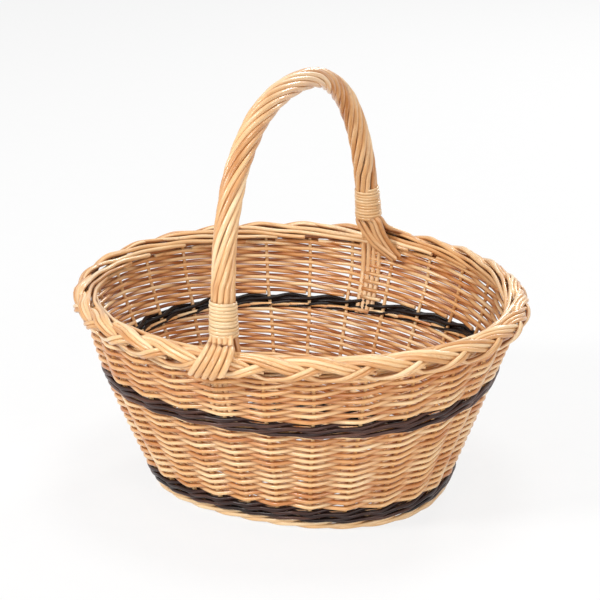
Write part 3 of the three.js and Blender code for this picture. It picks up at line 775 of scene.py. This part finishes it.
def make_base():
    sticks = [base_stick(i - LONG_STICKS // 2, True) for i in range(LONG_STICKS)]
    sticks += [base_stick(i - SHORT_STICKS // 2, False) for i in range(SHORT_STICKS)]
    crossed = Bundle()
    for number, line in enumerate(sticks):
        z = STICK_Z + crown_at(line[:, 0], line[:, 1])
        # The sticks are thickest where they cross
        near_middle = 1 - ease(np.hypot(line[:, 0], line[:, 1]), 12, 50)
        radius = STICK_RADIUS + (0.4 if number < LONG_STICKS else 0.5) * near_middle
        radius = radius + wander(line[:, 0] + line[:, 1], 0.06, 60)
        path = np.column_stack([line, z])
        crossed.rod(path, UP, radius, unshaded_side=None)
    crossed.piece("base_crossed_sticks", PALE_WILLOW, "pale_willow", ["base_sticks"])

    mat = Bundle()
    angle = np.linspace(-math.pi, math.pi, 720, endpoint=False)
    for number in range(BASE_BANDS * BAND_RODS):
        share = (number + 0.5) / (BASE_BANDS * BAND_RODS)
        plan = (
            CROSSING_HALF_LENGTH + (MAT_HALF_LENGTH - CROSSING_HALF_LENGTH) * share,
            CROSSING_HALF_WIDTH + (MAT_HALF_WIDTH - CROSSING_HALF_WIDTH) * share,
            CROSSING_SQUARENESS + (MAT_SQUARENESS - CROSSING_SQUARENESS) * share,
        )
        crossings = stick_crossings(sticks, *plan)
        count = len(crossings)
        spread = np.concatenate([crossings - 2 * math.pi, crossings, crossings + 2 * math.pi])
        place = np.interp(angle, spread, np.arange(-count, 2 * count))
        x, y = oval(angle, *plan)
        lift = BAND_LIFT * np.cos(math.pi * (place + number // BAND_RODS))
        turns = angle * STAKES / (2 * math.pi)
        z = STICK_Z + crown_at(x, y) + lift + round_waver(turns, 0.2, 5)
        size = MAT_ROD_RADIUS + round_waver(turns, 0.08, 4)
        path = np.stack([x, y, z], axis=1)
        mat.rod(path, UP, size, flat=MAT_ROD_FLATNESS, looped=True, unshaded_side=None)
    mat.piece("base_weave", GOLDEN_WILLOW, "golden_willow", ["base_mat"])


# Wall


def numbered(name, count):
    """Node names with a two-digit number."""
    return [name + "_%02d" % (i + 1) for i in range(count)]


def make_stakes():
    stakes = Bundle()
    for stake in range(STAKES):
        z = np.linspace(4.0, BORDER_Z - 2.0, 44)
        points, facing = wall_spot(stake + wander(z, 0.02, 130), z, wander(z, 0.25, 90))
        tone = 0.35 + 0.5 * rng.random()
        stakes.rod(points, facing, STAKE_RADIUS - STAKE_TAPER * z, tone=tone, unshaded_side=None)
    stakes.piece("upright_stakes", GOLDEN_WILLOW, "golden_willow", numbered("stake", STAKES))


def openness(stake):
    """How far the siding is open beside the stakes: 0 in front, more at the back, and most
    between the two on one side.
    """
    from_left = (stake + BACK_MIDDLE) % STAKES
    from_front = np.abs(from_left - BACK_MIDDLE)
    beside = ease(from_left, 4, 8) * (1 - ease(from_front, 9, 11)) * (from_front > 4)
    return ease(from_front, 4, 8) * (0.62 + 0.38 * beside)


def siding(bottom, pitch, laps, radii, top_limit):
    """French rand: every stake starts a rod, and each rod climbs half a row from stake to stake.

    Outer passes sag and inner passes rise a little where small gaps are open beside the stakes.
    """
    weave = Bundle()
    for start in range(STAKES):
        turn = np.linspace(-WEAVER_LEAD, laps, int((laps + WEAVER_LEAD) * WEAVER_STEPS))
        stake = start + turn
        part = (turn + WEAVER_LEAD) / (laps + WEAVER_LEAD)
        swing = zigzag(turn)
        opening = openness(stake)
        sag = (0.1 + 1.3 * opening) * (1 + swing) / 2 - (0.1 + 0.9 * opening) * (1 - swing) / 2
        z = bottom + pitch / 2 * (turn + 0.5) - sag * near_stakes(stake)
        z = np.minimum(z + wander(stake, 0.3, 2.7), top_limit + wander(stake, 0.4, 3.3))
        out = WEAVER_OUT * swing + wander(stake, 0.2, 3.1)
        beside_bow = np.exp(-(((stake % STAKES) - BOW_LEGS_STAKE) / BOW_LEGS_WIDTH) ** 2)
        side = 1 if (BACK_MIDDLE - 0.5 - start) % 2 == 0 else -1
        out = out + beside_bow * side * BOW_LEGS_DEPTH
        radius = radii[0] + (radii[1] - radii[0]) * part
        radius = radius * (1 + rng.normal(0, 0.04)) + wander(stake, 0.1, 1.9)
        points, facing = wall_spot(stake, z, out)
        # Painted shade on the side of each pass turned into the wall: the inner side of outer passes
        # and the outer side of inner passes
        weave.rod(points, facing, radius, unshaded_side=swing)
    return weave


def make_wall():
    lower = siding(bottom=26.2, pitch=7.15, laps=25.5, radii=(2.0, 1.88), top_limit=116.5)
    lower.piece("lower_siding", GOLDEN_WILLOW, "golden_willow", numbered("lower_weave", 8))
    upper = siding(bottom=129.0, pitch=7.3, laps=14.8, radii=(2.0, 1.95), top_limit=180.5)
    upper.piece("upper_siding", GOLDEN_WILLOW, "golden_willow", numbered("upper_weave", 3))
    for name, bottom in (("lower", 12.2), ("upper", 115.0)):
        wale = Bundle()
        three_rod_wale(wale, bottom, WALE_RISE, WALE_OUT, WALE_RADIUS, dip=0.7)
        three_rod_wale(wale, bottom + WALE_PITCH, WALE_RISE, WALE_OUT, WALE_RADIUS, dip=2.0)
        nodes = numbered(name + "_wale_rod", 3)
        wale.piece(name + "_dark_wale", DARK_WILLOW, "dark_willow", nodes)


# Border


def border_spot(stake, degrees, raised):
    """Place on the border's round section. 0 degrees faces outwards and 90 upwards."""
    angle = stake_angle(stake)
    x, y = oval(angle, RIM_HALF_LENGTH, RIM_HALF_WIDTH, RIM_SQUARENESS)
    ahead_x, ahead_y = oval(angle + 1e-4, RIM_HALF_LENGTH, RIM_HALF_WIDTH, RIM_SQUARENESS)
    z = BORDER_Z - BORDER_SAG * np.exp(-((np.sin(angle / 2) / BORDER_SAG_WIDTH) ** 2))
    along = unit(np.stack([ahead_x - x, ahead_y - y, 0 * x], axis=-1))
    out = np.stack([along[..., 1], -along[..., 0], 0 * x], axis=-1)
    turn = np.radians(degrees)
    c, s = np.cos(turn)[..., None], np.sin(turn)[..., None]
    raised = np.broadcast_to(np.asarray(raised, float), turn.shape)[..., None]
    point = np.stack([x, y, z], axis=-1)
    point = point + out * (SHELL_DEPTH + raised) * c + UP * (SHELL_HEIGHT + raised) * s
    return point, unit(out * c * SHELL_HEIGHT + UP * s * SHELL_DEPTH)


def border_path(stake, degrees, raised, aside, looped):
    """A rod's path beside a line on the border, aside towards its upper edge."""
    middle, facing = border_spot(stake, degrees, raised)
    if looped:
        along = unit(np.roll(middle, -1, axis=0) - np.roll(middle, 1, axis=0))
    else:
        along = unit(np.gradient(middle, axis=0))
    upper = unit(np.cross(facing, along))
    aside = np.broadcast_to(np.asarray(aside, float), stake.shape)[:, None]
    return middle + upper * aside, facing


def make_border():
    strands = [Bundle() for _ in range(STRAND_SPAN)]
    stake = np.linspace(0, STAKES, STAKES * BORDER_STEPS, endpoint=False)
    for number, bundle in enumerate(strands):
        place = stake - number - BORDER_SHIFT
        degrees, raised = along_loop(STRAND_STOPS, STRAND_SPAN, place)
        degrees = degrees + round_waver(stake, 2.5, 5)
        for aside in (-0.5, 0.5):
            shift = BORDER_ROD_SPACING * aside + round_waver(stake, 0.25, 7)
            lift = raised + round_waver(stake, 0.3, 6)
            path, facing = border_path(stake, degrees, lift, shift, True)
            size = BORDER_ROD_RADIUS * (1 + round_waver(stake, 0.06, 5))
            bundle.rod(path, facing, size, looped=True)
    for first in range(STAKES):
        bundle = strands[first % STRAND_SPAN]
        # A short rod beside the strand's own two on their way down
        place = np.linspace(SHORT_ROD_START, SHORT_ROD_END, 40) + rng.normal(0, 0.03)
        degrees, raised = along_stops(STRAND_STOPS + ((3.0, -66, 0.0), (3.3, -48, 0.6)), place)
        shown = ease(place, SHORT_ROD_START, SHORT_ROD_START + 0.32)
        shown = shown * (1 - ease(place, SHORT_ROD_END - 0.24, SHORT_ROD_END))
        raised = raised - TUCK_DEPTH * (1 - shown)
        stakes = first + BORDER_SHIFT + place
        path, facing = border_path(stakes, degrees, raised, 1.5 * BORDER_ROD_SPACING - 0.2, False)
        bundle.rod(path, facing, BORDER_ROD_RADIUS * (0.85 + 0.12 * shown))
        # A long rod from the inside of the border
        place = np.linspace(rng.uniform(-1.8, -0.9), 2.98, 90)
        degrees, raised = along_stops(JOINING_STOPS, place)
        degrees = degrees + wander(place, 6.0, 3.1)
        raised = raised + wander(place, 0.5, 2.3)
        stakes = first + BORDER_SHIFT + place + rng.normal(0, 0.04)
        path, facing = border_path(stakes, degrees, raised, wander(place, 0.3, 2.0), False)
        size = BORDER_ROD_RADIUS * (1 + wander(place, 0.06, 2.7)) * (1 + rng.normal(0, 0.05))
        bundle.rod(path, facing, size)
    for number, bundle in enumerate(strands, 1):
        nodes = ["border_strand_%02d" % number]
        bundle.piece("border_bundle_%d" % number, PALE_WILLOW, "pale_willow", nodes)
    core = Bundle()
    stake = stake[::2]
    for out_by, up_by in CORE_RODS:
        middle, facing = border_spot(stake, 0 * stake, out_by - SHELL_DEPTH)
        path = middle + UP * (up_by + round_waver(stake, 0.3, 4))[:, None]
        core.rod(path, facing, CORE_ROD_RADIUS, looped=True)
    core.piece("border_core_rods", PALE_WILLOW, "pale_willow", ["border_core"])


# Handle


def handle_x(z):
    """The handle leans a little to -X."""
    return HANDLE_SHIFT + HANDLE_LEAN * (np.asarray(z) - HANDLE_FOOT_Z)


ARCH_TURNS = np.linspace(0, math.pi, 6001)
ARCH_ACROSS = np.cos(ARCH_TURNS)
ARCH_Y = -HANDLE_HALF_SPAN * np.sign(ARCH_ACROSS) * np.abs(ARCH_ACROSS) ** (2 / HANDLE_SPREAD)
ARCH_RISE = np.abs(np.sin(ARCH_TURNS)) ** (2 / HANDLE_SHOULDER)
ARCH_Z = HANDLE_FOOT_Z + (HANDLE_TOP - HANDLE_FOOT_Z) * ARCH_RISE
ARCH = np.stack([handle_x(ARCH_Z), ARCH_Y, ARCH_Z], axis=1)
ARCH_RUN = np.concatenate([[0], np.cumsum(np.linalg.norm(np.diff(ARCH, axis=0), axis=1))])
HALF_COUNT = len(ARCH) // 2


def run_at_height(z):
    """Distance along the arch from its front foot to a height."""
    return float(np.interp(z, ARCH_Z[:HALF_COUNT], ARCH_RUN[:HALF_COUNT]))


BINDING_HEIGHT = BINDING_TURNS * BINDING_PITCH
FRONT_BINDING = run_at_height(FRONT_BINDING_Z)
BACK_BINDING = ARCH_RUN[-1] - run_at_height(BACK_BINDING_Z)
ROPE_START = FRONT_BINDING + BINDING_HEIGHT
ROPE_END = BACK_BINDING - BINDING_HEIGHT


def arch_at(run):
    return np.stack([np.interp(run, ARCH_RUN, ARCH[:, k]) for k in range(3)], axis=-1)


def round_bow(run, degrees, radius):
    """Place round the bow: 0 degrees sideways to +X, 90 out of the arch."""
    parts = [np.asarray(part, float) for part in (run, degrees, radius)]
    run, degrees, radius = np.broadcast_arrays(*parts)
    along = unit(arch_at(run + 0.5) - arch_at(run - 0.5))
    side = unit(np.array([1.0, 0, 0]) - along * along[..., :1])
    outward = np.cross(side, along)
    turn = np.radians(degrees)[..., None]
    normal = side * np.cos(turn) + outward * np.sin(turn)
    return arch_at(run) + normal * radius[..., None], normal


def rod_facing(path):
    """A steady facing for a path that bends mostly in the handle's plane."""
    along = unit(np.gradient(path, axis=0))
    return unit(np.cross(along, np.array([1.0, 0, 0])) + 1e-6)


def front_tail(start, index):
    """A rod's end below the front binding. The outer five fan out over the border."""
    if index < FAN_RODS:
        last = FAN_ENDS[index]
        degrees = np.array([*FAN_DEGREES, 0.5 * last - 4, last])
        edge_degrees, edge_x = np.array(FAN_EDGE[::-1], float).T
        down = (edge_degrees[-1] - degrees) / (edge_degrees[-1] - edge_degrees[0])
        spacing = 4.9 + 1.8 * down
        x = np.interp(degrees, edge_degrees, edge_x) + (FAN_RODS - 1 - index) * spacing
        raised = 2.0 + BORDER_ROD_RADIUS + 0.85 * ROPING_RADIUS
        return list(border_spot(x / STAKE_SPACING, degrees, raised)[0])
    end_x, end_z = BEHIND_FAN_ENDS[index - FAN_RODS]
    return [
        np.array([start[0] * 0.6 + end_x * 0.4, -165.5, start[2] - 9]),
        np.array([end_x, -168.0, end_z]),
    ]


def back_tail(end_deg):
    """A rod's end below the back binding, where the rods are told apart by their place round
    the bow. Two and three sweep inside the border towards +X, and five lie outside it.
    """
    order = (round(end_deg) - 180) // ROPING_ANGLE % ROPING_RODS
    for first, places, step in BACK_TAILS:
        if order >= first:
            return [np.array(place) + np.array(step) * (order - first) for place in places]


def away_from_bow(path):
    """Directions from the middle line of the bow to the points of a path."""
    nearest = [ARCH[np.argmin(((ARCH - point) ** 2).sum(axis=1))] for point in path]
    return unit(path - np.array(nearest) + 1e-6)


def make_handle():
    ropes = [Bundle() for _ in range(ROPES)]
    run = np.linspace(ROPE_START, ROPE_END, 240)
    twist, width = (np.interp(run, *np.array(table).T) for table in (ROPE_TWIST, ROPE_WIDTH))
    turned = np.cumsum(twist) - twist[0]
    turned = turned * ROPE_TURN / turned[-1]
    for index in range(ROPING_RODS):
        start_deg = ROPING_ANGLE * (index + 0.5)
        end_deg = start_deg - ROPE_TURN
        spread = start_deg - turned + wander(run, 2.5, 120)
        ring = ROPE_RADIUS * width - ROPING_RADIUS + wander(run, 0.35, 95)
        middle, _ = round_bow(run, spread, ring)
        low, _ = round_bow(np.array([FRONT_BINDING + 3, FRONT_BINDING + 14]), start_deg, 8.2)
        high, _ = round_bow(np.array([BACK_BINDING - 14, BACK_BINDING - 3]), end_deg, 8.8)
        front = front_tail(low[0], index)
        back = back_tail(end_deg)
        path = flow(np.vstack([front[::-1], low, middle[4:-4:4], high, back]), ROPING_STEP)
        radius = ROPING_RADIUS * (1 + rng.normal(0, 0.03))
        radius = radius + wander(np.arange(len(path)) * ROPING_STEP, 0.08, 70)
        if index < FAN_RODS:
            # The butts at the ends of the fan are thicker
            radius = radius * (1 + 0.08 * ease(-path[:, 1], 178, 190))
        rope = ropes[index * ROPES // ROPING_RODS]
        rope.rod(path, away_from_bow(path), radius, sides=12, slant=0.8)
    for number, rope in enumerate(ropes, 1):
        nodes = ["handle_rope_%02d" % number]
        rope.piece("roping_rods_%d" % number, HONEY_WILLOW, "honey_willow", nodes)

    bow = Bundle()
    run = np.linspace(FRONT_BINDING, BACK_BINDING, 60)
    for x_foot, degrees in BOW_RODS:
        middle, _ = round_bow(run, degrees, BOW_ROD_OFFSET)
        feet = []
        for place, end_z, sign in ((0, 128, 1), (BACK_MIDDLE, 114, -1)):
            # Down inside the wall from a neck within the border
            z = np.array([end_z, 140, 152, 164])
            stake = place + sign * (x_foot - 1.0) / STAKE_SPACING
            points, _ = wall_spot(np.full(4, stake), z, np.array([0, 0, -1.0, -3.5]))
            neck = np.array([x_foot - 1.0, -sign * 180.0, 187])
            feet.append(np.vstack([points, neck]))
        path = flow(np.vstack([feet[0], middle, feet[1][::-1]]), 4.0)
        tone = 0.5 + 0.3 * rng.random()
        bow.rod(path, rod_facing(path), BOW_ROD_RADIUS, tone=tone, unshaded_side=None)
    bow.piece("bow_rods", HONEY_WILLOW, "honey_willow", ["handle_bow"])

    bindings = (
        ("front_binding", FRONT_BINDING - 2.5, 12.6, 11.5),
        ("back_binding", BACK_BINDING - BINDING_HEIGHT, 11.6, 12.8),
    )
    for name, start, reach, end_reach in bindings:
        cane = Bundle()
        place = np.arange(BINDING_TURNS * CANE_STEPS + 1) / CANE_STEPS
        radius = reach + (end_reach - reach) * place / BINDING_TURNS + wander(place, 0.3, 3.1)
        run = start + BINDING_PITCH * place + wander(place, 0.2, 2.3)
        points, facing = round_bow(run, 360 * place - 60, radius)
        flat = CANE_HALF_THICKNESS / CANE_HALF_WIDTH
        cane.rod(points, facing, CANE_HALF_WIDTH, flat=flat, sides=12)
        cane.piece("cane_" + name, SPLIT_CANE, "split_cane", [name])


# Studio


def make_floor():
    mesh = bpy.data.meshes.new("studio_floor")
    corners = [(x * FLOOR_HALF_SIZE, y * FLOOR_HALF_SIZE, 0) for x, y in SQUARE]
    mesh.from_pydata(corners, [], [(0, 1, 2, 3)])
    floor = bpy.data.objects.new("studio_floor", mesh)
    bpy.context.scene.collection.objects.link(floor)
    made = bpy.data.materials.new("white_floor")
    made.use_nodes = True
    finish = Finish(made.node_tree)
    grain = finish.noise(finish.node("ShaderNodeTexCoord", out="Object"), 40.0)
    paper = finish.blend(grain, tone_of(236, 236, 236), tone_of(242, 242, 242))
    matt = finish.node("ShaderNodeBsdfDiffuse", None, {"Color": paper})
    white = finish.node("ShaderNodeEmission", None, {"Color": (1, 1, 1, 1), "Strength": 1.0})
    # The floor keeps a fifth of its own shading, so that the shadow stays
    seen = finish.seen_directly() * 0.8
    surface = finish.node("ShaderNodeMixShader", None, {0: seen, 1: matt, 2: white})
    finish.node("ShaderNodeOutputMaterial", None, {"Surface": surface})
    mesh.materials.append(made)


def make_world():
    world = bpy.data.worlds.new("studio")
    bpy.context.scene.world = world
    world.use_nodes = True
    sky = Finish(world.node_tree)
    soft = sky.node("ShaderNodeBackground", None, {"Color": (1, 1, 1, 1), "Strength": 0.36})
    white = sky.node("ShaderNodeBackground", None, {"Color": (1, 1, 1, 1), "Strength": 1.0})
    mixed = sky.node("ShaderNodeMixShader", None, {0: sky.seen_directly(), 1: soft, 2: white})
    sky.node("ShaderNodeOutputWorld", None, {"Surface": mixed})


def make_lamps():
    for name, place, width, power in LAMPS:
        lamp = bpy.data.lights.new(name, "AREA")
        lamp.shape = "DISK"
        lamp.size = width
        lamp.energy = power
        made = bpy.data.objects.new(name, lamp)
        made.location = place
        aim = Vector(LAMP_TARGET) - Vector(place)
        made.rotation_euler = aim.to_track_quat("-Z", "Y").to_euler()
        bpy.context.scene.collection.objects.link(made)


def make_camera():
    """The photograph's camera, fitted to the outlines of the basket in it."""
    lens = bpy.data.cameras.new("photo_camera")
    lens.lens = 121.118
    lens.sensor_width = 36.0
    lens.clip_end = 50.0
    camera = bpy.data.objects.new("photo_camera", lens)
    turn = Matrix(CAMERA_AXES).transposed().to_4x4()
    camera.matrix_world = Matrix.Translation(Vector(CAMERA_PLACE)) @ turn
    bpy.context.scene.collection.objects.link(camera)
    bpy.context.scene.camera = camera
    bpy.context.scene.view_settings.view_transform = "Standard"


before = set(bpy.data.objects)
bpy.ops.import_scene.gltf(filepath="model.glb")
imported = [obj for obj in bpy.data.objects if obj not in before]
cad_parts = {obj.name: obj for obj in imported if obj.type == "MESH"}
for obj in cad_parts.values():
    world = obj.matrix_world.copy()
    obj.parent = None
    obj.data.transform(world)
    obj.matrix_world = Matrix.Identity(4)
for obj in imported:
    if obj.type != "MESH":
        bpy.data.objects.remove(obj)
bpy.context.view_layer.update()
make_foot()
make_base()
make_stakes()
make_wall()
make_border()
make_handle()
make_floor()
make_world()
make_lamps()
make_camera()
